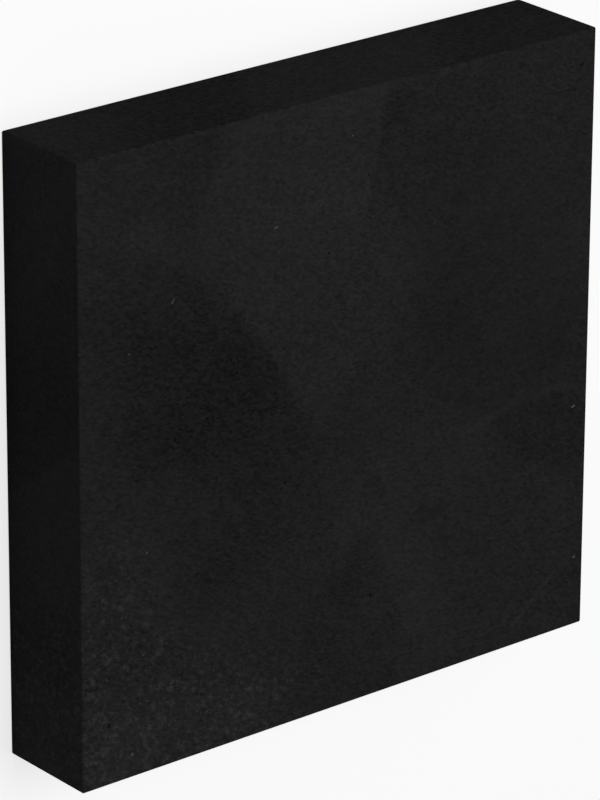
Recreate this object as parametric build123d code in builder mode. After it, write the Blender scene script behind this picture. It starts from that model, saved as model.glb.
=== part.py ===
"""Square full-body stoneware floor tile, lying face up on its keyed back.

The tile is dry-pressed and fired as one piece. Its face and sides are plain, with ground arrises.
Its back has rows of shallow drafted pockets, pressed by the punch, that the bedding mortar keys into.
The origin is the centre of the back, on the plane of its rim and ribs, and +Z points out of the face.
"""

import os

from build123d import *

# Overall size, in millimetres
tile_side = 100.0  # length of each side of the square face
tile_thickness = 18.0  # from the back's rim to the face

# Arrises, in millimetres: the flats ground or rubbed along the tile's sharp edges
face_arris = 0.3  # round the face
corner_arris = 0.3  # up each corner
back_arris = 0.3  # round the back's rim

# Keyed back, in millimetres and degrees
back_rim = 9.5  # plain border between the tile's sides and the outer pockets
rib_width = 3.0  # flat rib between two pockets
pockets_per_row = 7  # pockets along each side of the tile
pocket_depth = 1.2  # from the rim's plane to a pocket's floor
pocket_corner = 1.0  # corner radius at a pocket's mouth
pocket_draft = 15.0  # lean of a pocket's walls, so that the punch lets go of the clay

# Worked out from the sizes above
ribs_per_row = pockets_per_row - 1
pocket_side = (tile_side - 2 * back_rim - ribs_per_row * rib_width) / pockets_per_row
pocket_pitch = pocket_side + rib_width

with BuildPart() as tile:
    # The pressed slab
    with BuildSketch(Plane.XY):
        Rectangle(tile_side, tile_side)
    extrude(amount=tile_thickness)

    # Arrises, with the upright corners first so that the face and rim bevels run round them
    chamfer(tile.edges().filter_by(Axis.Z), length=corner_arris)
    chamfer(tile.faces().sort_by(Axis.Z)[-1].edges(), length=face_arris)
    chamfer(tile.faces().sort_by(Axis.Z)[0].edges(), length=back_arris)

    # Key pockets, pressed up into the back and narrowing towards their floors
    with BuildSketch(Plane.XY):
        with GridLocations(pocket_pitch, pocket_pitch, pockets_per_row, pockets_per_row):
            RectangleRounded(pocket_side, pocket_side, pocket_corner)
    extrude(amount=pocket_depth, taper=pocket_draft, mode=Mode.SUBTRACT)

tile.part.label = "tile"

os.makedirs("parts", exist_ok=True)
export_step(tile.part, "parts/tile.step")
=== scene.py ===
"""A square black stoneware floor tile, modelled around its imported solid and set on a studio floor.

The tile is pressed and fired as one piece, so it is one mesh: a slab with ground arrises, a keyed back,
a finely grained face and sides, pinholes, and pale grains of grog that show at the surface.
Sizes are in metres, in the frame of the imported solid. The origin is the centre of the tile's back, +Z points
out of the face, and +X and +Y run to the right and to the top of the face.
"""

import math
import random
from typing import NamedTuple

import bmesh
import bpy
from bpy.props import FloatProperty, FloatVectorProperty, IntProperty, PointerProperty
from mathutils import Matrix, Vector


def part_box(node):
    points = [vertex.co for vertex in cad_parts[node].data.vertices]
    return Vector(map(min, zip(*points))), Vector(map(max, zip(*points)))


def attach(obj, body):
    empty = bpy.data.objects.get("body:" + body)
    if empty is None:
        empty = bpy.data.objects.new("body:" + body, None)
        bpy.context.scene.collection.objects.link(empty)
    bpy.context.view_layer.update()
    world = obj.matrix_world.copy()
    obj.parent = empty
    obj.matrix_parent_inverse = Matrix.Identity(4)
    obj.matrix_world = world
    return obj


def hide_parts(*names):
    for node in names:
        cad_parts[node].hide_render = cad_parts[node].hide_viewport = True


bl_info = {
    "name": "Stoneware Floor Tile",
    "version": (1, 0, 0),
    "blender": (4, 5, 0),
    "location": "3D Viewport > Sidebar > Stoneware Tile",
    "description": "Models a square stoneware floor tile with a keyed back and sets it on a studio floor",
    "category": "Add Mesh",
}

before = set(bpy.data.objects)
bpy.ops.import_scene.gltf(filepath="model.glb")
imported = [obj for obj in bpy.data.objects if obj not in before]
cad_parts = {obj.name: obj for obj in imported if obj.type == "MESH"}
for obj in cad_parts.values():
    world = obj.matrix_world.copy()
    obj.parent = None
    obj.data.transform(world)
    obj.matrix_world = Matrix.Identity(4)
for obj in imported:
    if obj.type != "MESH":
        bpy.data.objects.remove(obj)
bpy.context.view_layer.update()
tile_low, tile_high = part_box("tile")

MM = 0.001
NEAR = 0.01 * MM  # places closer than this are the same place

# How finely the mesh is built
ARRIS_SEGMENTS = 3
CORNER_SEGMENTS = 4
LIP_SEGMENTS = 2
ROUND_PROFILE = 0.5
LIES_FLAT = 0.9  # a face lies flat if its normal's share along Z is above this
LEVEL_CUTS = (11, 11)  # cuts across each level edge, one round after the other
UPRIGHT_CUTS = 24  # cuts across each upright edge
LONG_EDGE = 1.5  # edges longer than this many arrises are divided
RELIEF_MARGIN = 1.0 * MM  # distance from the arrises over which relief grows to its full depth
RELIEF_OCTAVES = 2
SPECK_SEGMENTS = 12
SPECK_RINGS = 8
PINHOLE_DEPTH = 1.6  # depth of a pinhole, in halves of its width
PALE_GRAIN_DEPTH = 0.8  # depth of a pale grain, in halves of its width
SMOOTH_ANGLE = math.radians(20.0)  # surfaces that meet at less than this are shaded as one

# Stray pinholes, with lengths in millimetres
STRAY_SEED = 7
STRAY_MARGIN = 3.0  # border of the face that is left bare
STRAY_LENGTHS = (0.22, 0.38)
STRAY_WIDTHS = (0.18, 0.28)

# The studio
FLOOR_GAP = 0.02 * MM  # the floor lies this far under the tile, so that the surfaces don't meet
FLOOR_ROUGHNESS = 0.9
WHITE = (1.0, 1.0, 1.0, 1.0)
LAMP_PLACE = (0.075, 0.18, 0.87)
CAMERA_BACK = (-0.58862, 0.37558, 0.71587)  # direction from the aim to the camera
CAMERA_RIGHT = (0.77367, 0.00492, 0.63357)  # direction that points right in the picture
CAMERA_AIM = (-8.45, 3.07, 18.0)  # the point that the camera looks at, in millimetres
SENSOR_WIDTH = 36.0


class TrowelMark(NamedTuple):
    """A smear of tone that stops at a rim and fades away behind it. Lengths are in millimetres."""

    rim: tuple  # middle of the rim, across and up from the middle of its surface
    faces: float  # direction that the rim faces, in degrees from the first axis
    bow: float  # radius of the rim's bend, which is hollow if negative
    edge: float  # width of the change at the rim
    hold: float  # distance behind the rim at which the mark starts to fade
    fade: float  # distance behind the rim at which it is gone
    reach: float  # half of the rim's length
    tone: float  # change of brightness, as a share of the body's


class SoftPatch(NamedTuple):
    """A paler or darker oval with soft sides. Lengths are in millimetres."""

    place: tuple  # its middle, across and up from the middle of its surface
    length: float
    width: float
    turn: float  # direction of its length, in degrees from the first axis
    softness: float  # share of its half-width over which it fades, inside and outside its outline
    tone: float  # change of brightness, as a share of the body's
    rim: TrowelMark = None  # the trowel's rim that cuts it off, if there is one


def cutting_rim(rim, faces, bow, edge):
    """A rim that cuts off soft patches, and that neither fades nor ends on the tile."""
    return TrowelMark(rim, faces, bow, edge, hold=80, fade=90, reach=180, tone=1.0)


# Rims that cut off soft patches on the face: both sides of the leaf's rim, and the oval's upper rim
LEAF_RIM = cutting_rim(rim=(-19.3, 18.8), faces=41, bow=65, edge=2.0)
LEAF_OUTSIDE = cutting_rim(LEAF_RIM.rim, LEAF_RIM.faces + 180, -LEAF_RIM.bow, LEAF_RIM.edge)
OVAL_RIM = cutting_rim(rim=(39.7, -8.2), faces=90, bow=22, edge=1.0)

# The face, with +X across and +Y up
FACE_MARKS = (
    LEAF_RIM._replace(hold=6, fade=24, reach=30, tone=-0.175),
    TrowelMark(rim=(-46.5, 27.6), faces=70, bow=60, edge=2.0, hold=5, fade=14, reach=10, tone=-0.10),
    TrowelMark(rim=(7.0, 42.0), faces=-10, bow=150, edge=1.0, hold=30, fade=44, reach=18, tone=0.14),
    TrowelMark(rim=(-25.2, 42.0), faces=-19, bow=200, edge=2.4, hold=2, fade=14, reach=16, tone=-0.14),
    TrowelMark(rim=(7.0, 45.6), faces=176, bow=20, edge=0.8, hold=3, fade=8, reach=4, tone=-0.11),
    TrowelMark(rim=(6.5, 39.0), faces=170, bow=-150, edge=1.0, hold=8, fade=32, reach=14, tone=-0.035),
    TrowelMark(rim=(33.4, -8.5), faces=98, bow=120, edge=0.6, hold=0.8, fade=2.0, reach=12, tone=0.11),
    TrowelMark(rim=(12.2, -44.5), faces=4, bow=100, edge=1.5, hold=8, fade=27, reach=11, tone=-0.085),
    TrowelMark(rim=(10.0, -32.3), faces=199, bow=-200, edge=1.6, hold=3, fade=12, reach=14, tone=0.09),
    TrowelMark(rim=(-27.0, -30.0), faces=47, bow=200, edge=14.0, hold=60, fade=90, reach=60, tone=0.05),
    TrowelMark(rim=(-32.0, -38.0), faces=80, bow=90, edge=8.0, hold=20, fade=40, reach=26, tone=0.10),
    TrowelMark(rim=(39.5, -42.5), faces=130, bow=200, edge=0.4, hold=0.4, fade=1.2, reach=8, tone=0.26),
    TrowelMark(rim=(42.3, -45.6), faces=8, bow=60, edge=0.4, hold=0.3, fade=1.1, reach=4.5, tone=0.14),
)
FACE_PATCHES = (
    SoftPatch(place=(-31.0, 8.5), length=30, width=22, turn=0, softness=0.4, tone=-0.16, rim=LEAF_RIM),
    SoftPatch(place=(-35.0, 4.0), length=18, width=11, turn=-15, softness=0.6, tone=-0.12),
    SoftPatch(place=(-37.5, 19.0), length=11, width=9, turn=0, softness=0.6, tone=-0.08),
    SoftPatch(place=(-35.0, 24.0), length=12, width=7, turn=-40, softness=0.6, tone=0.10, rim=LEAF_RIM),
    SoftPatch(place=(-36.5, 32.5), length=13, width=8, turn=-45, softness=0.6, tone=0.07),
    SoftPatch(place=(-13.0, 1.5), length=13, width=7, turn=-40, softness=0.6, tone=-0.04, rim=LEAF_RIM),
    SoftPatch(place=(-5.0, 19.0), length=40, width=37, turn=100, softness=0.35, tone=0.11, rim=LEAF_OUTSIDE),
    SoftPatch(place=(-24.0, 31.0), length=26, width=8, turn=-18, softness=0.6, tone=0.08, rim=LEAF_OUTSIDE),
    SoftPatch(place=(41.5, -14.0), length=26, width=12, turn=-28, softness=0.2, tone=-0.15, rim=OVAL_RIM),
    SoftPatch(place=(-20.5, -12.0), length=27, width=29, turn=100, softness=0.5, tone=-0.11),
    SoftPatch(place=(-40.5, -3.5), length=13, width=8, turn=10, softness=0.6, tone=-0.05),
    SoftPatch(place=(-14.0, -7.0), length=11, width=9, turn=0, softness=0.6, tone=-0.04),
    SoftPatch(place=(-24.0, -22.3), length=15, width=10, turn=20, softness=0.6, tone=-0.09),
    SoftPatch(place=(-38.5, -14.5), length=9, width=6, turn=-60, softness=0.7, tone=0.10),
    SoftPatch(place=(-36.0, -23.0), length=10, width=6, turn=-70, softness=0.7, tone=0.08),
    SoftPatch(place=(-46.5, 41.0), length=18, width=10, turn=90, softness=0.6, tone=0.025),
    SoftPatch(place=(-26.5, 47.0), length=7, width=6, turn=70, softness=0.6, tone=-0.06),
    SoftPatch(place=(-37.0, 35.0), length=13, width=5, turn=-25, softness=0.6, tone=0.09),
    SoftPatch(place=(-6.0, 49.0), length=26, width=6, turn=0, softness=0.6, tone=0.08),
    SoftPatch(place=(15.0, 49.5), length=16, width=4, turn=0, softness=0.6, tone=0.08),
    SoftPatch(place=(17.0, 36.0), length=16, width=8, turn=-5, softness=0.5, tone=-0.03),
    SoftPatch(place=(31.0, 35.0), length=12, width=6, turn=-10, softness=0.5, tone=-0.06),
    SoftPatch(place=(21.5, 14.5), length=18, width=15, turn=20, softness=0.5, tone=-0.025),
    SoftPatch(place=(32.0, 7.5), length=48, width=31, turn=-10, softness=0.45, tone=-0.065),
    SoftPatch(place=(29.0, 3.0), length=28, width=15, turn=-20, softness=0.5, tone=-0.05),
    SoftPatch(place=(45.0, -2.0), length=15, width=9, turn=-10, softness=0.5, tone=-0.04),
    SoftPatch(place=(45.0, 14.5), length=11, width=9, turn=10, softness=0.6, tone=0.09),
    SoftPatch(place=(44.6, -7.7), length=2.4, width=2.0, turn=0, softness=0.5, tone=0.16),
    SoftPatch(place=(17.5, -13.5), length=22, width=14, turn=-20, softness=0.6, tone=0.09),
    SoftPatch(place=(2.5, -19.5), length=13, width=9, turn=40, softness=0.6, tone=0.11),
    SoftPatch(place=(14.5, -28.0), length=27, width=9, turn=114, softness=0.6, tone=0.07),
    SoftPatch(place=(15.5, -36.0), length=11, width=9, turn=105, softness=0.6, tone=0.05),
    SoftPatch(place=(18.5, -44.5), length=17, width=9, turn=0, softness=0.6, tone=0.10),
    SoftPatch(place=(16.5, -22.5), length=8, width=3.5, turn=10, softness=0.6, tone=-0.12),
    SoftPatch(place=(6.0, -15.5), length=5, width=3.5, turn=-60, softness=0.6, tone=-0.11),
    SoftPatch(place=(2.3, -28.0), length=10, width=7, turn=50, softness=0.6, tone=-0.09),
    SoftPatch(place=(-1.5, -34.0), length=13, width=9, turn=40, softness=0.6, tone=-0.09),
    SoftPatch(place=(8.5, -29.0), length=7, width=4, turn=100, softness=0.6, tone=0.08),
    SoftPatch(place=(6.2, -35.0), length=7, width=4, turn=-20, softness=0.6, tone=0.05),
    SoftPatch(place=(-3.0, -2.5), length=15, width=9, turn=-10, softness=0.6, tone=-0.05),
    SoftPatch(place=(3.8, 4.0), length=6, width=5, turn=40, softness=0.5, tone=-0.15),
    SoftPatch(place=(-5.3, 6.1), length=3, width=2.4, turn=0, softness=0.6, tone=0.10),
    SoftPatch(place=(-43.0, -45.0), length=26, width=10, turn=0, softness=0.6, tone=0.07),
    SoftPatch(place=(-20.0, -45.0), length=16, width=7, turn=10, softness=0.6, tone=0.09),
)

# Where the face's grain is stronger or weaker
FACE_GRAIN = (
    SoftPatch(place=(-27.0, 10.0), length=36, width=28, turn=42, softness=0.4, tone=0.05),
    SoftPatch(place=(-6.0, 28.0), length=50, width=30, turn=100, softness=0.5, tone=0.14),
    SoftPatch(place=(33.0, 12.0), length=46, width=40, turn=90, softness=0.5, tone=-0.22),
)

# The side at the top of the face, with +X across and +Z up
TOP_SIDE_MARKS = (
    TrowelMark(rim=(-11.5, 9.0), faces=32, bow=200, edge=4.0, hold=13, fade=24, reach=40, tone=-0.22),
    TrowelMark(rim=(25.5, 9.0), faces=216, bow=200, edge=7.0, hold=26, fade=40, reach=40, tone=-0.14),
)
TOP_SIDE_PATCHES = (
    SoftPatch(place=(-44.0, 5.0), length=16, width=14, turn=0, softness=0.7, tone=0.04),
    SoftPatch(place=(5.0, 9.0), length=44, width=40, turn=0, softness=0.5, tone=0.05),
)

# The side at the left of the face, with +Y across and +Z up
LEFT_SIDE_MARKS = (
    TrowelMark(rim=(-1.0, 9.0), faces=146, bow=200, edge=1.2, hold=16, fade=28, reach=40, tone=-0.17),
    TrowelMark(rim=(-36.0, 9.0), faces=0, bow=60, edge=5.0, hold=60, fade=90, reach=60, tone=0.08),
)
LEFT_SIDE_PATCHES = (
    SoftPatch(place=(-28.0, 10.5), length=15, width=12, turn=20, softness=0.5, tone=-0.08),
    SoftPatch(place=(-19.5, 11.0), length=10, width=4, turn=80, softness=0.6, tone=0.05),
)


class MarkedSide(NamedTuple):
    """A flat side of the tile, with the marks that were left on it."""

    outward: tuple  # direction that it faces
    axes: tuple  # the axes that run across and up it
    marks: tuple
    patches: tuple
    grain: float  # strength of its grain, as a share of the body's
    mottling: float  # strength of its mottling in the mottled corner
    grain_patches: tuple = ()  # where its grain is stronger or weaker


MARKED_SIDES = (
    MarkedSide(
        outward=(0.0, 0.0, 1.0),
        axes=("X", "Y"),
        marks=FACE_MARKS,
        patches=FACE_PATCHES,
        grain=0.96,
        mottling=1.25,
        grain_patches=FACE_GRAIN,
    ),
    MarkedSide(
        outward=(0.0, 1.0, 0.0),
        axes=("X", "Z"),
        marks=TOP_SIDE_MARKS,
        patches=TOP_SIDE_PATCHES,
        grain=1.22,
        mottling=1.0,
    ),
    MarkedSide(
        outward=(-1.0, 0.0, 0.0),
        axes=("Y", "Z"),
        marks=LEFT_SIDE_MARKS,
        patches=LEFT_SIDE_PATCHES,
        grain=0.78,
        mottling=0.7,
    ),
)

# Where coarse, pale mottling shows: a corner with a hollow rim
MOTTLED_CORNER = TrowelMark(
    rim=(-28.8, -31.9), faces=50, bow=-32, edge=10, hold=60, fade=90, reach=32, tone=1.0
)

# A normal this near to a side's direction starts to belong to the side, and belongs to it fully
SIDE_START, SIDE_FULL = 0.6, 0.8


class NoiseLayer(NamedTuple):
    """A pattern of noise in the body."""

    length: float  # about the distance between its features, in millimetres
    detail: float = 2.0
    roughness: float = 0.5


NOISE_MIDDLE = 0.5  # mean of a noise or of a random share

# How far noise draws the marks' rims and the patches aside: its length and its sway, in millimetres
RIM_DRIFTS = ((12.0, 1.0), (1.2, 0.7))
PATCH_DRIFTS = ((9.0, 3.5), (1.6, 1.6))

# Patterns of the body, and painted shade in its pores. Strengths and tones are changes of brightness, as
# shares of the body's
CLOUDS = NoiseLayer(length=16.0, detail=4.0, roughness=0.55)
CLOUD_STRENGTH = 0.24
SLANT = 0.25  # rise of the patterns' slant across the face
MOTTLE = NoiseLayer(length=2.6, detail=3.0, roughness=0.6)
MOTTLE_STRETCH = (1.15, 0.95, 1.05)
MOTTLE_STRENGTH = 0.30
MOTTLE_CORNER_STRENGTH = 0.22  # added in the mottled corner
MOTTLE_ROUGHNESS = 0.06
BLOTCHES = NoiseLayer(length=1.1, detail=2.0, roughness=0.6)
BLOTCH_STRETCH = (0.90, 1.00, 1.05)
BLOTCH_START, BLOTCH_FULL = 0.50, 0.72  # noise at which a blotch begins and is palest
BLOTCH_LOW, BLOTCH_HIGH = -0.06, 0.62  # tone between the blotches and on them
GRAIN_SIZE = (0.64, 0.35, 0.515)  # in millimetres
GRAIN_STRENGTH = 0.42
GRAIN_CORNER_SHARE = 0.15  # added to the grain's share in the mottled corner
GRAIN_ROUGHNESS = 0.2
DUST = NoiseLayer(length=1.5, detail=3.0, roughness=0.6)
DUST_STRENGTH = 0.9
SPECK_INNER, SPECK_OUTER = 0.15, 0.4  # distances from a grain's middle between which a speck fades
PORE_CHANCE = 0.08
# Painted shade: the pores' colour is darkened by this share of the body's, standing in for the shade inside
# their dents
PORE_PAINTED_SHADE = -0.30
PORE_HEIGHT = -0.8  # in the bump, where the dust spans about one
FLECK_CHANCE = 0.05
FLECK_TONE = 0.25
FLECK_CORNER_TONE = 0.80  # added in the mottled corner
DARKEST = 0.25  # least brightness, as a share of the body's
BUMP_STRENGTH = 0.5
BUMP_DISTANCE = 0.04 * MM

# Clouding of the pale grains
CLOUDING = NoiseLayer(length=0.35, detail=3.0, roughness=0.6)
CLOUDING_START, CLOUDING_FULL = 0.3, 0.7
CLOUDING_LOW, CLOUDING_HIGH = 0.45, 1.3  # darkest and palest, as shares of the grain's colour
CLOUDING_ROUGHNESS = 0.2


class Speck(NamedTuple):
    """A pinhole or a pale grain in the face. Lengths are in millimetres."""

    place: tuple  # across and up the face, from its middle
    length: float
    width: float
    turn: float  # direction of its length, in degrees from +X


PINHOLES = (
    Speck(place=(-11.3, -9.7), length=0.75, width=0.60, turn=20),
    Speck(place=(45.8, 40.7), length=0.55, width=0.45, turn=70),
    Speck(place=(47.2, 44.5), length=0.65, width=0.55, turn=0),
    Speck(place=(5.7, -33.0), length=0.90, width=0.65, turn=150),
    Speck(place=(-45.0, -40.2), length=0.80, width=0.62, turn=40),
    Speck(place=(-3.0, 25.3), length=0.50, width=0.40, turn=110),
)

PALE_GRAINS = (
    Speck(place=(-13.1, 31.7), length=0.95, width=0.38, turn=11),
    Speck(place=(-32.5, 24.7), length=0.95, width=0.34, turn=59),
    Speck(place=(47.2, -12.1), length=1.05, width=0.46, turn=15),
    Speck(place=(48.2, -38.2), length=0.60, width=0.55, turn=0),
    Speck(place=(-40.6, -46.2), length=0.70, width=0.55, turn=80),
    Speck(place=(-37.6, -14.0), length=0.40, width=0.32, turn=30),
    Speck(place=(5.7, 29.2), length=0.34, width=0.27, turn=120),
    Speck(place=(1.5, 42.9), length=0.36, width=0.30, turn=60),
    Speck(place=(-40.7, 18.4), length=0.34, width=0.27, turn=0),
)


class TileShape(bpy.types.PropertyGroup):
    """Sizes of the tile and of its keyed back."""

    side: FloatProperty(
        name="Side",
        description="Length of each side of the square face",
        default=tile_high.x - tile_low.x,
        unit="LENGTH",
        precision=4,
    )
    thickness: FloatProperty(
        name="Thickness",
        description="From the back's rim to the face",
        default=tile_high.z - tile_low.z,
        unit="LENGTH",
        precision=4,
    )
    arris: FloatProperty(
        name="Arris",
        description="Width that the ground edges take off each surface",
        default=0.3 * MM,
        unit="LENGTH",
        precision=5,
    )
    back_rim: FloatProperty(
        name="Back rim",
        description="Plain border between the tile's sides and the outer pockets",
        default=9.5 * MM,
        unit="LENGTH",
        precision=4,
    )
    rib_width: FloatProperty(
        name="Rib width",
        description="Flat rib between two pockets",
        default=3.0 * MM,
        unit="LENGTH",
        precision=4,
    )
    pockets_per_row: IntProperty(
        name="Pockets per row",
        description="Pockets along each side of the back",
        default=7,
        min=1,
    )
    pocket_depth: FloatProperty(
        name="Pocket depth",
        description="From the rim's plane to a pocket's floor",
        default=1.2 * MM,
        unit="LENGTH",
        precision=4,
    )
    pocket_corner: FloatProperty(
        name="Pocket corner",
        description="Corner radius of a pocket",
        default=1.0 * MM,
        unit="LENGTH",
        precision=4,
    )
    pocket_draft: FloatProperty(
        name="Pocket draft",
        description="Lean of a pocket's walls",
        default=math.radians(15.0),
        subtype="ANGLE",
    )
    pocket_lip: FloatProperty(
        name="Pocket lip",
        description="Rounding of the pressed edges at a pocket's mouth and floor",
        default=0.2 * MM,
        unit="LENGTH",
        precision=5,
    )


class TileGrain(bpy.types.PropertyGroup):
    """Fine relief of the face and the sides."""

    swell_depth: FloatProperty(
        name="Swell depth",
        description="Depth of the slow hollows that the punch leaves in the face",
        default=0.05 * MM,
        unit="LENGTH",
        precision=6,
    )
    swell_length: FloatProperty(
        name="Swell length",
        description="Distance between those hollows",
        default=14.0 * MM,
        unit="LENGTH",
        precision=4,
    )
    grain_depth: FloatProperty(
        name="Grain depth",
        description="Depth of the fine grain of the pressed body",
        default=0.03 * MM,
        unit="LENGTH",
        precision=6,
    )
    grain_length: FloatProperty(
        name="Grain length",
        description="Distance between the grains",
        default=1.4 * MM,
        unit="LENGTH",
        precision=5,
    )
    stray_pinholes: IntProperty(
        name="Stray pinholes",
        description="Small pinholes scattered over the face",
        default=26,
        min=0,
    )


class TileFinish(bpy.types.PropertyGroup):
    """Colours and surface of the fired body."""

    body_colour: FloatVectorProperty(
        name="Body colour",
        description="Mean colour of the black body",
        default=(0.0135, 0.0135, 0.0135),
        subtype="COLOR",
        min=0.0,
        max=1.0,
    )
    grain_colour: FloatVectorProperty(
        name="Pale grain colour",
        description="Colour of the grog grains that show in the face",
        default=(0.066, 0.066, 0.064),
        subtype="COLOR",
        min=0.0,
        max=1.0,
    )
    roughness: FloatProperty(
        name="Roughness",
        description="Mean roughness of the unglazed body",
        default=0.8,
        subtype="FACTOR",
        min=0.0,
        max=1.0,
    )
    shine: FloatProperty(
        name="Shine",
        description="Specular level of the unglazed body",
        default=0.004,
        subtype="FACTOR",
        min=0.0,
        max=1.0,
    )


class StudioStage(bpy.types.PropertyGroup):
    """Floor, lights and camera."""

    floor_colour: FloatVectorProperty(
        name="Floor colour",
        description="Colour of the studio floor",
        default=(0.96, 0.96, 0.96),
        subtype="COLOR",
        min=0.0,
        max=1.0,
    )
    floor_width: FloatProperty(
        name="Floor width",
        description="Width of the studio floor",
        default=8.0,
        unit="LENGTH",
    )
    floor_glow: FloatProperty(
        name="Floor glow",
        description="Share of plain white that the camera sees in the floor, which lightens shadows",
        default=0.7,
        subtype="FACTOR",
        min=0.0,
        max=1.0,
    )
    key_power: FloatProperty(
        name="Key power",
        description="Power of the soft lamp overhead",
        default=7.4,
        unit="POWER",
    )
    key_width: FloatProperty(
        name="Key width",
        description="Width of the soft lamp overhead",
        default=0.7,
        unit="LENGTH",
    )
    sky_strength: FloatProperty(
        name="Sky strength",
        description="Even light from all round",
        default=0.15,
    )
    camera_distance: FloatProperty(
        name="Camera distance",
        description="From the camera to the point that it looks at",
        default=0.8192,
        unit="LENGTH",
        precision=4,
    )
    camera_lens: FloatProperty(
        name="Camera lens",
        description="Focal length of the camera",
        default=245.4,
        unit="CAMERA",
    )


class Wiring:
    """Adds shader nodes to one tree and links them.

    A value may be a number, a tuple or another node's socket.
    """

    def __init__(self, tree):
        self.tree = tree

    def node(self, kind, values=None, **settings):
        """A new node of that kind, with its settings made and its inputs set by name or number."""
        made = self.tree.nodes.new(kind)
        for name, setting in settings.items():
            setattr(made, name, setting)
        for name, value in (values or {}).items():
            self.feed(made.inputs[name], value)
        return made

    def feed(self, socket, value):
        """Links a socket to another one, or sets its value."""
        if isinstance(value, bpy.types.NodeSocket):
            self.tree.links.new(value, socket)
        else:
            socket.default_value = value

    def math(self, operation, *values):
        """The result of a Math node."""
        return self.node("ShaderNodeMath", dict(enumerate(values)), operation=operation).outputs[0]

    def vector_math(self, operation, *values):
        """The vector result of a Vector Math node with two vectors."""
        return self.node("ShaderNodeVectorMath", dict(enumerate(values)), operation=operation).outputs[0]

    def scaled(self, vector, factor):
        """A vector times a number."""
        values = {"Vector": vector, "Scale": factor}
        return self.node("ShaderNodeVectorMath", values, operation="SCALE").outputs[0]

    def ramp(self, value, start, end, low=0.0, high=1.0):
        """A smooth step from low to high as a value goes from start to end."""
        values = {"Value": value, "From Min": start, "From Max": end, "To Min": low, "To Max": high}
        return self.node("ShaderNodeMapRange", values, interpolation_type="SMOOTHSTEP").outputs["Result"]

    def noise(self, position, layer):
        """The outputs of a Noise node with that layer's pattern."""
        values = {
            "Vector": position,
            "Scale": 1.0 / layer.length,
            "Detail": layer.detail,
            "Roughness": layer.roughness,
        }
        return self.node("ShaderNodeTexNoise", values).outputs

    def total(self, values):
        """The sum of several values."""
        result = values[0]
        for value in values[1:]:
            result = self.math("ADD", result, value)
        return result


def tone_group(name, vectors, numbers):
    """A new node group that takes those values and gives a tone, with its wiring and its inputs."""
    group = bpy.data.node_groups.new(name, "ShaderNodeTree")
    for names, kind in ((vectors, "NodeSocketVector"), (numbers, "NodeSocketFloat")):
        for socket in names:
            group.interface.new_socket(socket, in_out="INPUT", socket_type=kind)
    group.interface.new_socket("Tone", in_out="OUTPUT", socket_type="NodeSocketFloat")
    wires = Wiring(group)
    return group, wires, wires.node("NodeGroupInput").outputs


def turned_back(wires, place, middle, angle):
    """A place as seen from a middle point, with the first axis along that angle."""
    away = wires.vector_math("SUBTRACT", place, middle)
    values = {"Vector": away, "Angle": wires.math("MULTIPLY", angle, -1.0)}
    return wires.node("ShaderNodeVectorRotate", values, rotation_type="Z_AXIS").outputs[0]


def trowel_mark_group():
    """The node group that works out the tone of one trowel mark at a place on its surface."""
    numbers = ("Faces", "Bow", "Edge", "Hold", "Fade", "Reach", "Tone")
    group, wires, given = tone_group("Trowel mark", ("Place", "Rim"), numbers)
    turned = turned_back(wires, given["Place"], given["Rim"], given["Faces"])
    along = wires.node("ShaderNodeSeparateXYZ", {0: turned}).outputs
    bend = wires.math("DIVIDE", wires.math("MULTIPLY", along["Y"], along["Y"]), given["Bow"])
    ahead = wires.math("MULTIPLY_ADD", bend, 0.5, along["X"])
    behind = wires.math("MULTIPLY", ahead, -1.0)
    half_edge = wires.math("MULTIPLY", given["Edge"], 0.5)
    starts = wires.ramp(behind, wires.math("MULTIPLY", half_edge, -1.0), half_edge)
    fades = wires.ramp(behind, given["Hold"], given["Fade"], 1.0, 0.0)
    full_reach = wires.math("MULTIPLY", given["Reach"], 0.5)
    ends = wires.ramp(wires.math("ABSOLUTE", along["Y"]), full_reach, given["Reach"], 1.0, 0.0)
    shape = wires.math("MULTIPLY", wires.math("MULTIPLY", starts, fades), ends)
    wires.node("NodeGroupOutput", {"Tone": wires.math("MULTIPLY", shape, given["Tone"])})
    return group


def mark_tone(wires, group, place, mark):
    """The tone of one trowel mark at a place on its surface."""
    values = {
        "Place": place,
        "Rim": (*mark.rim, 0.0),
        "Faces": math.radians(mark.faces),
        "Bow": mark.bow,
        "Edge": mark.edge,
        "Hold": mark.hold,
        "Fade": mark.fade,
        "Reach": mark.reach,
        "Tone": mark.tone,
    }
    return wires.node("ShaderNodeGroup", values, node_tree=group).outputs["Tone"]


def soft_patch_group():
    """The node group that works out the tone of one soft patch at a place on its surface."""
    numbers = ("Turn", "Softness", "Tone")
    group, wires, given = tone_group("Soft patch", ("Place", "Middle", "Half size"), numbers)
    turned = turned_back(wires, given["Place"], given["Middle"], given["Turn"])
    shrunk = wires.vector_math("DIVIDE", turned, given["Half size"])
    radius = wires.node("ShaderNodeVectorMath", {0: shrunk}, operation="LENGTH").outputs["Value"]
    inner = wires.math("SUBTRACT", 1.0, given["Softness"])
    outer = wires.math("ADD", 1.0, given["Softness"])
    shape = wires.ramp(radius, inner, outer, 1.0, 0.0)
    wires.node("NodeGroupOutput", {"Tone": wires.math("MULTIPLY", shape, given["Tone"])})
    return group


def patch_tone(wires, group, place, patch):
    """The tone of one soft patch at a place on its surface."""
    values = {
        "Place": place,
        "Middle": (*patch.place, 0.0),
        "Half size": (patch.length / 2, patch.width / 2, 1.0),
        "Turn": math.radians(patch.turn),
        "Softness": patch.softness,
        "Tone": patch.tone,
    }
    return wires.node("ShaderNodeGroup", values, node_tree=group).outputs["Tone"]


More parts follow.
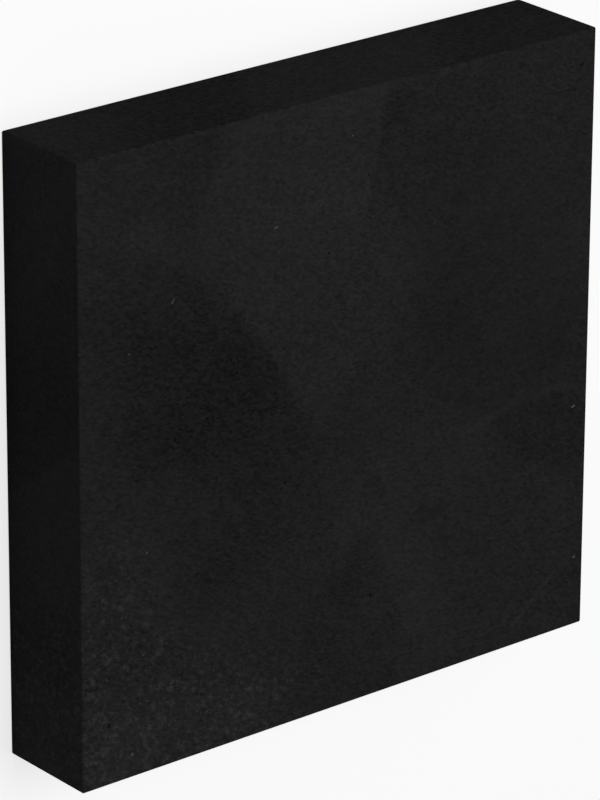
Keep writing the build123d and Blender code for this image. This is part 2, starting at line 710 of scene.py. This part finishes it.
def drawn_about(wires, position, drifts):
    """A position that layers of noise draw aside in turn, each by up to about half of its sway."""
    for length, sway in drifts:
        noise = wires.noise(position, NoiseLayer(length))["Color"]
        aside = wires.vector_math("SUBTRACT", noise, (NOISE_MIDDLE, NOISE_MIDDLE, NOISE_MIDDLE))
        position = wires.vector_math("ADD", position, wires.scaled(aside, sway))
    return position


def slanted(wires, position, slant):
    """A position whose pattern is drawn along a slant across the face."""
    axes = wires.node("ShaderNodeSeparateXYZ", {0: position}).outputs
    shifted = wires.math("MULTIPLY_ADD", axes["X"], slant, axes["Y"])
    return wires.node("ShaderNodeCombineXYZ", {"X": axes["X"], "Y": shifted, "Z": axes["Z"]}).outputs[0]


def flat_place(wires, position, across, up):
    """The place on a flat surface, from the two axes that run along it."""
    axes = wires.node("ShaderNodeSeparateXYZ", {0: position}).outputs
    return wires.node("ShaderNodeCombineXYZ", {"X": axes[across], "Y": axes[up]}).outputs[0]


def stoneware_material(finish):
    """Black full-body stoneware: trowelled clouds, mottling, grain, pale flecks, and pores darkened with
    painted shade.
    """
    material = bpy.data.materials.new("stoneware")
    material.use_nodes = True
    wires = Wiring(material.node_tree)
    shader = material.node_tree.nodes["Principled BSDF"]
    mark_group = trowel_mark_group()
    patch_group = soft_patch_group()

    # Places in millimetres, drawn about a little for the marks' rims and more for the patches
    coordinates = wires.node("ShaderNodeTexCoord").outputs
    position = wires.scaled(coordinates["Object"], 1.0 / MM)
    rim_position = drawn_about(wires, position, RIM_DRIFTS)
    patch_position = drawn_about(wires, position, PATCH_DRIFTS)

    # Marks and patches, each kept to its own side
    tones = []
    grain_shares = [1.0]
    mottle_shares = [1.0]
    for side in MARKED_SIDES:
        rim_place = flat_place(wires, rim_position, *side.axes)
        patch_place = flat_place(wires, patch_position, *side.axes)
        left = [mark_tone(wires, mark_group, rim_place, mark) for mark in side.marks]
        for patch in side.patches:
            tone = patch_tone(wires, patch_group, patch_place, patch)
            if patch.rim:
                tone = wires.math("MULTIPLY", tone, mark_tone(wires, mark_group, rim_place, patch.rim))
            left.append(tone)
        values = {0: coordinates["Normal"], 1: side.outward}
        faces = wires.node("ShaderNodeVectorMath", values, operation="DOT_PRODUCT").outputs["Value"]
        on_side = wires.ramp(faces, SIDE_START, SIDE_FULL)
        tones.append(wires.math("MULTIPLY", wires.total(left), on_side))
        share = [side.grain - 1.0]
        share += [patch_tone(wires, patch_group, patch_place, patch) for patch in side.grain_patches]
        grain_shares.append(wires.math("MULTIPLY", on_side, wires.total(share)))
        mottle_shares.append(wires.math("MULTIPLY", on_side, side.mottling - 1.0))

    # Clouds through the whole body
    clouds = wires.noise(position, CLOUDS)[0]
    tones.append(wires.math("MULTIPLY_ADD", clouds, CLOUD_STRENGTH, -CLOUD_STRENGTH * NOISE_MIDDLE))

    # Mottling, which is coarser and stronger in one corner
    corner = mark_tone(wires, mark_group, flat_place(wires, patch_position, "X", "Y"), MOTTLED_CORNER)
    corner = wires.math("MULTIPLY", corner, wires.total(mottle_shares))
    slanted_position = slanted(wires, position, SLANT)
    mottle_position = wires.vector_math("DIVIDE", slanted_position, MOTTLE_STRETCH)
    blotch_position = wires.vector_math("DIVIDE", slanted_position, BLOTCH_STRETCH)
    mottle = wires.math("SUBTRACT", wires.noise(mottle_position, MOTTLE)[0], NOISE_MIDDLE)
    mottle_strength = wires.math("MULTIPLY_ADD", corner, MOTTLE_CORNER_STRENGTH, MOTTLE_STRENGTH)
    tones.append(wires.math("MULTIPLY", mottle, mottle_strength))
    blotches = wires.noise(blotch_position, BLOTCHES)[0]
    blotches = wires.ramp(blotches, BLOTCH_START, BLOTCH_FULL, BLOTCH_LOW, BLOTCH_HIGH)
    tones.append(wires.math("MULTIPLY", blotches, corner))

    # Fine grain of packed grains and dust, drawn out along X and Z
    grain_position = wires.vector_math("DIVIDE", slanted_position, GRAIN_SIZE)
    cells = wires.node("ShaderNodeTexVoronoi", {"Vector": grain_position, "Scale": 1.0})
    chance = wires.node("ShaderNodeSeparateColor", {0: cells.outputs["Color"]}).outputs
    grains = wires.math("SUBTRACT", chance["Green"], NOISE_MIDDLE)
    dust = wires.math("SUBTRACT", wires.noise(grain_position, DUST)[0], NOISE_MIDDLE)
    grain = wires.math("MULTIPLY_ADD", grains, GRAIN_STRENGTH, wires.math("MULTIPLY", dust, DUST_STRENGTH))
    grain_share = wires.math("MULTIPLY_ADD", corner, GRAIN_CORNER_SHARE, wires.total(grain_shares))
    tones.append(wires.math("MULTIPLY", grain, grain_share))

    # Small pores, dented in the bump and darkened in colour with painted shade, and pale flecks
    speck = wires.ramp(cells.outputs["Distance"], SPECK_INNER, SPECK_OUTER, 1.0, 0.0)
    # The pore mask dents the bump and carries the painted shade in the pores' colour
    pore_dent_and_shade = wires.math("MULTIPLY", speck, wires.math("LESS_THAN", chance["Red"], PORE_CHANCE))
    tones.append(wires.math("MULTIPLY", pore_dent_and_shade, PORE_PAINTED_SHADE))
    is_fleck = wires.math("GREATER_THAN", chance["Red"], 1.0 - FLECK_CHANCE)
    pale_fleck = wires.math("MULTIPLY", speck, is_fleck)
    fleck_tone = wires.math("MULTIPLY_ADD", corner, FLECK_CORNER_TONE, FLECK_TONE)
    tones.append(wires.math("MULTIPLY", pale_fleck, fleck_tone))

    tone = wires.math("MAXIMUM", wires.total([1.0, *tones]), DARKEST)
    colour = wires.scaled((*finish.body_colour,), tone)
    wires.feed(shader.inputs["Base Color"], colour)

    rough_noise = wires.math("MULTIPLY_ADD", grain, GRAIN_ROUGHNESS, finish.roughness)
    roughness = wires.math("MULTIPLY_ADD", mottle, MOTTLE_ROUGHNESS, rough_noise)
    wires.feed(shader.inputs["Roughness"], roughness)
    shader.inputs["Specular IOR Level"].default_value = finish.shine

    height = wires.math("MULTIPLY_ADD", pore_dent_and_shade, PORE_HEIGHT, dust)
    values = {"Strength": BUMP_STRENGTH, "Distance": BUMP_DISTANCE, "Height": height}
    bump = wires.node("ShaderNodeBump", values)
    wires.feed(shader.inputs["Normal"], bump.outputs["Normal"])
    return material


def pale_grain_material(finish):
    """Pale fired grog, clouded by the black body round it."""
    material = bpy.data.materials.new("pale_grain")
    material.use_nodes = True
    wires = Wiring(material.node_tree)
    shader = material.node_tree.nodes["Principled BSDF"]
    position = wires.scaled(wires.node("ShaderNodeTexCoord").outputs["Object"], 1.0 / MM)
    clouding = wires.noise(position, CLOUDING)[0]
    tone = wires.ramp(clouding, CLOUDING_START, CLOUDING_FULL, CLOUDING_LOW, CLOUDING_HIGH)
    wires.feed(shader.inputs["Base Color"], wires.scaled((*finish.grain_colour,), tone))
    least_roughness = finish.roughness - CLOUDING_ROUGHNESS * NOISE_MIDDLE
    roughness = wires.math("MULTIPLY_ADD", clouding, CLOUDING_ROUGHNESS, least_roughness)
    wires.feed(shader.inputs["Roughness"], roughness)
    shader.inputs["Specular IOR Level"].default_value = finish.shine
    return material


def select_only(kind, wanted):
    """In edit mode, selects the edges or faces of the active mesh that are wanted, and nothing else."""
    bpy.ops.mesh.select_all(action="DESELECT")
    bpy.ops.mesh.select_mode(type=kind)
    mesh = bpy.context.edit_object.data
    shape = bmesh.from_edit_mesh(mesh)
    for item in shape.edges if kind == "EDGE" else shape.faces:
        item.select_set(wanted(item))
    shape.select_flush_mode()
    bmesh.update_edit_mesh(mesh)


def edge_runs(edge, axis):
    """True if an edge runs along that axis."""
    way = edge.verts[1].co - edge.verts[0].co
    return abs(way[axis]) > way.length - NEAR


def round_edges(width, segments):
    """In edit mode, rounds the selected edges, taking that width off each surface."""
    bpy.ops.mesh.bevel(
        offset=width,
        offset_type="OFFSET",
        segments=segments,
        profile=ROUND_PROFILE,
        affect="EDGES",
    )


def press_slab(shape):
    """The plain slab with its arrises, open in edit mode."""
    bpy.ops.object.select_all(action="DESELECT")
    bpy.ops.mesh.primitive_cube_add(
        size=1.0,
        location=(0.0, 0.0, shape.thickness / 2),
        scale=(shape.side, shape.side, shape.thickness),
    )
    bpy.ops.object.transform_apply(location=True, rotation=True, scale=True)
    tile = bpy.context.active_object
    tile.name = "stoneware_tile"
    tile.data.name = "stoneware_tile"
    bpy.ops.object.mode_set(mode="EDIT")
    bpy.ops.mesh.select_all(action="SELECT")
    round_edges(shape.arris, ARRIS_SEGMENTS)
    return tile


def press_back(shape):
    """Presses the key pockets into the back of the slab in edit mode."""
    field = shape.side - 2 * shape.back_rim
    ribs = shape.pockets_per_row - 1
    pocket = (field - ribs * shape.rib_width) / shape.pockets_per_row
    pitch = pocket + shape.rib_width

    def on_back(face):
        return face.normal.z < -LIES_FLAT and face.calc_center_median().z < NEAR

    def in_field(face):
        centre = face.calc_center_median()
        return on_back(face) and max(abs(centre.x), abs(centre.y)) < field / 2

    def is_pocket(face):
        return in_field(face) and abs(face.calc_area() - pocket * pocket) < NEAR * pocket

    # The field inside the rim, cut along both edges of every rib
    select_only("FACE", on_back)
    bpy.ops.mesh.inset(thickness=shape.back_rim - shape.arris)
    for step in range(ribs):
        rib_start = -field / 2 + pocket + step * pitch
        for cut in (rib_start, rib_start + shape.rib_width):
            for across in (Vector((1.0, 0.0, 0.0)), Vector((0.0, 1.0, 0.0))):
                select_only("FACE", in_field)
                bpy.ops.mesh.bisect(plane_co=across * cut, plane_no=across)

    # Leaning walls and floors, then the corners and the lips
    select_only("FACE", is_pocket)
    bpy.ops.mesh.inset(
        thickness=shape.pocket_depth * math.tan(shape.pocket_draft),
        depth=-shape.pocket_depth,
        use_individual=True,
    )

    def is_corner(edge):
        heights = sorted(vertex.co.z for vertex in edge.verts)
        return heights[0] < NEAR and abs(heights[1] - shape.pocket_depth) < NEAR and edge.is_manifold

    select_only("EDGE", is_corner)
    round_edges(shape.pocket_corner, CORNER_SEGMENTS)

    def is_lip(edge):
        flat = [abs(face.normal.z) > LIES_FLAT for face in edge.link_faces]
        inside = max(max(abs(vertex.co.x), abs(vertex.co.y)) for vertex in edge.verts) < field / 2 + NEAR
        return inside and edge.verts[0].co.z < shape.thickness / 2 and flat.count(True) == 1

    select_only("EDGE", is_lip)
    round_edges(shape.pocket_lip, LIP_SEGMENTS)


def refine_face_and_sides(shape):
    """Divides the face, the sides and the arrises into small cells that can carry relief."""
    half = shape.side / 2
    outside = half - shape.arris - NEAR
    face_height = shape.thickness - shape.arris - NEAR
    long_edge = shape.arris * LONG_EDGE

    def on_show(vertex):
        return vertex.co.z > face_height or max(abs(vertex.co.x), abs(vertex.co.y)) > outside

    def runs_level(edge):
        level = edge_runs(edge, 0) or edge_runs(edge, 1)
        return level and all(on_show(vertex) for vertex in edge.verts)

    def runs_upright(edge):
        return edge_runs(edge, 2) and edge.calc_length() > long_edge

    def long_level(edge):
        return runs_level(edge) and edge.calc_length() > long_edge

    for cuts in LEVEL_CUTS:
        select_only("EDGE", long_level)
        bpy.ops.mesh.subdivide(number_cuts=cuts)
    select_only("EDGE", runs_upright)
    bpy.ops.mesh.subdivide(number_cuts=UPRIGHT_CUTS)


def weigh_relief(tile, shape):
    """The vertex group that keeps relief off the arrises and the back."""
    half = shape.side / 2
    group = tile.vertex_groups.new(name="relief")
    for vertex in tile.data.vertices:
        place = vertex.co
        inward = (
            half - abs(place.x),
            half - abs(place.y),
            shape.thickness - place.z,
            place.z,
        )
        depths = sorted(inward)
        on_surface = depths[0] < NEAR and place.z > shape.arris + NEAR
        weight = min(1.0, max(0.0, (depths[1] - shape.arris) / RELIEF_MARGIN)) if on_surface else 0.0
        group.add([vertex.index], weight, "REPLACE")
    return group.name


def press_relief(tile, group, name, length, depth):
    """Presses a cloudy relief of that depth into the tile, inwards only."""
    texture = bpy.data.textures.new(name, "CLOUDS")
    texture.noise_scale = length
    texture.noise_depth = RELIEF_OCTAVES
    modifier = tile.modifiers.new(name, "DISPLACE")
    modifier.texture = texture
    modifier.texture_coords = "LOCAL"
    modifier.direction = "NORMAL"
    modifier.mid_level = 1.0
    modifier.strength = depth
    modifier.vertex_group = group
    bpy.ops.object.modifier_apply(modifier=modifier.name)
    bpy.data.textures.remove(texture)


def stray_pinholes(shape, count):
    """Small pinholes scattered over the face, the same ones every time."""
    draw = random.Random(STRAY_SEED)
    room = shape.side / 2 / MM - STRAY_MARGIN
    for _ in range(count):
        yield Speck(
            place=(draw.uniform(-room, room), draw.uniform(-room, room)),
            length=draw.uniform(*STRAY_LENGTHS),
            width=draw.uniform(*STRAY_WIDTHS),
            turn=draw.uniform(0.0, 180.0),
        )


def sink_specks(tile, shape, specks, depth_share, material):
    """Sinks small hollows into the face, lined with a material."""
    bpy.ops.object.select_all(action="DESELECT")
    cutter = None
    for speck in specks:
        bpy.ops.mesh.primitive_uv_sphere_add(
            segments=SPECK_SEGMENTS,
            ring_count=SPECK_RINGS,
            radius=0.5 * MM,
            location=(speck.place[0] * MM, speck.place[1] * MM, shape.thickness),
            rotation=(0.0, 0.0, math.radians(speck.turn)),
            scale=(speck.length, speck.width, speck.width * depth_share),
        )
        if cutter is None:
            cutter = bpy.context.active_object
            bpy.ops.object.transform_apply(location=True, rotation=True, scale=True)
            bpy.ops.object.mode_set(mode="EDIT")
    bpy.ops.object.mode_set(mode="OBJECT")
    cutter.data.materials.append(material)

    bpy.ops.object.select_all(action="DESELECT")
    tile.select_set(True)
    bpy.context.view_layer.objects.active = tile
    modifier = tile.modifiers.new("specks", "BOOLEAN")
    modifier.operation = "DIFFERENCE"
    modifier.solver = "EXACT"
    modifier.material_mode = "TRANSFER"
    modifier.object = cutter
    bpy.ops.object.modifier_apply(modifier=modifier.name)
    bpy.data.objects.remove(cutter)


class MESH_OT_stoneware_tile_add(bpy.types.Operator):
    """Model the stoneware tile and put it in the place of its solid"""

    bl_idname = "mesh.stoneware_tile_add"
    bl_label = "Add Stoneware Tile"

    def execute(self, context):
        shape = context.scene.tile_shape
        grain = context.scene.tile_grain
        finish = context.scene.tile_finish
        tile = press_slab(shape)
        press_back(shape)
        refine_face_and_sides(shape)
        bpy.ops.object.mode_set(mode="OBJECT")

        group = weigh_relief(tile, shape)
        press_relief(tile, group, "swell", grain.swell_length, grain.swell_depth)
        press_relief(tile, group, "grain", grain.grain_length, grain.grain_depth)
        tile.vertex_groups.clear()

        body = stoneware_material(finish)
        tile.data.materials.append(body)
        pinholes = [*PINHOLES, *stray_pinholes(shape, grain.stray_pinholes)]
        sink_specks(tile, shape, pinholes, PINHOLE_DEPTH, body)
        sink_specks(tile, shape, PALE_GRAINS, PALE_GRAIN_DEPTH, pale_grain_material(finish))
        bpy.ops.object.shade_smooth_by_angle(angle=SMOOTH_ANGLE)

        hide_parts("tile")
        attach(tile, "root")
        return {"FINISHED"}


def seen_as_background(wires):
    """One for the rays that show the background: straight to the camera, mirrored or through glass."""
    paths = wires.node("ShaderNodeLightPath").outputs
    seen = wires.math("MAXIMUM", paths["Is Camera Ray"], paths["Is Glossy Ray"])
    return wires.math("MAXIMUM", seen, paths["Is Transmission Ray"])


def add_floor(stage):
    """A wide, plain, pale floor just under the tile, whitened for the camera."""
    bpy.ops.object.select_all(action="DESELECT")
    bpy.ops.mesh.primitive_plane_add(size=stage.floor_width, location=(0.0, 0.0, -FLOOR_GAP))
    floor = bpy.context.active_object
    floor.name = "studio_floor"
    material = bpy.data.materials.new("studio_floor")
    material.use_nodes = True
    shader = material.node_tree.nodes["Principled BSDF"]
    shader.inputs["Base Color"].default_value = (*stage.floor_colour, 1.0)
    shader.inputs["Roughness"].default_value = FLOOR_ROUGHNESS
    shader.inputs["Specular IOR Level"].default_value = 0.0
    wires = Wiring(material.node_tree)
    glow = wires.node("ShaderNodeEmission", {"Color": WHITE, "Strength": 1.0})
    share = wires.math("MULTIPLY", seen_as_background(wires), stage.floor_glow)
    surface = wires.node("ShaderNodeMixShader", {0: share, 1: shader.outputs[0], 2: glow.outputs[0]})
    wires.feed(material.node_tree.nodes["Material Output"].inputs["Surface"], surface.outputs[0])
    floor.data.materials.append(material)


def add_light(stage):
    """One large soft lamp overhead, and an even sky that the camera sees as white."""
    bpy.ops.object.light_add(type="AREA", location=LAMP_PLACE)
    lamp = bpy.context.active_object
    lamp.name = "soft_overhead_lamp"
    lamp.data.shape = "SQUARE"
    lamp.data.size = stage.key_width
    lamp.data.energy = stage.key_power
    lamp.rotation_euler = lamp.location.to_track_quat("Z", "Y").to_euler()
    lamp.visible_camera = False

    world = bpy.data.worlds.new("studio_sky")
    world.use_nodes = True
    bpy.context.scene.world = world
    wires = Wiring(world.node_tree)
    seen = seen_as_background(wires)
    strength = wires.math("MULTIPLY_ADD", seen, 1.0 - stage.sky_strength, stage.sky_strength)
    background = world.node_tree.nodes["Background"]
    background.inputs["Color"].default_value = WHITE
    wires.feed(background.inputs["Strength"], strength)


def add_camera(stage):
    """The camera, above and to the upper left of the face, with the left side upright in the picture."""
    back = Vector(CAMERA_BACK).normalized()
    aim = Vector(CAMERA_AIM) * MM
    right = Vector(CAMERA_RIGHT).normalized()
    up = back.cross(right)
    place = aim + back * stage.camera_distance
    bpy.ops.object.camera_add()
    camera = bpy.context.active_object
    camera.name = "camera"
    axes = Matrix((right, up, back)).transposed().to_4x4()
    camera.matrix_world = Matrix.Translation(place) @ axes
    camera.data.lens = stage.camera_lens
    camera.data.sensor_width = SENSOR_WIDTH
    bpy.context.scene.camera = camera


class SCENE_OT_tile_stage_add(bpy.types.Operator):
    """Add the floor, the light and the camera"""

    bl_idname = "scene.tile_stage_add"
    bl_label = "Add Studio Stage"

    def execute(self, context):
        stage = context.scene.tile_stage
        add_floor(stage)
        add_light(stage)
        add_camera(stage)
        context.scene.view_settings.view_transform = "Standard"
        return {"FINISHED"}


class VIEW3D_PT_stoneware_tile(bpy.types.Panel):
    """Sizes, finish and stage of the stoneware tile"""

    bl_label = "Stoneware Tile"
    bl_idname = "VIEW3D_PT_stoneware_tile"
    bl_space_type = "VIEW_3D"
    bl_region_type = "UI"
    bl_category = "Stoneware Tile"

    def draw(self, context):
        scene = context.scene
        for title, group, operator in (
            ("Shape", scene.tile_shape, None),
            ("Grain", scene.tile_grain, None),
            ("Finish", scene.tile_finish, MESH_OT_stoneware_tile_add.bl_idname),
            ("Stage", scene.tile_stage, SCENE_OT_tile_stage_add.bl_idname),
        ):
            box = self.layout.box()
            box.label(text=title)
            for name in group.__annotations__:
                box.prop(group, name)
            if operator:
                box.operator(operator)


CLASSES = (
    TileShape,
    TileGrain,
    TileFinish,
    StudioStage,
    MESH_OT_stoneware_tile_add,
    SCENE_OT_tile_stage_add,
    VIEW3D_PT_stoneware_tile,
)


def register():
    for made in CLASSES:
        bpy.utils.register_class(made)
    bpy.types.Scene.tile_shape = PointerProperty(type=TileShape)
    bpy.types.Scene.tile_grain = PointerProperty(type=TileGrain)
    bpy.types.Scene.tile_finish = PointerProperty(type=TileFinish)
    bpy.types.Scene.tile_stage = PointerProperty(type=StudioStage)


def unregister():
    del bpy.types.Scene.tile_stage
    del bpy.types.Scene.tile_finish
    del bpy.types.Scene.tile_grain
    del bpy.types.Scene.tile_shape
    for made in reversed(CLASSES):
        bpy.utils.unregister_class(made)


def main():
    register()
    bpy.ops.mesh.stoneware_tile_add()
    bpy.ops.scene.tile_stage_add()


if __name__ == "__main__":
    main()
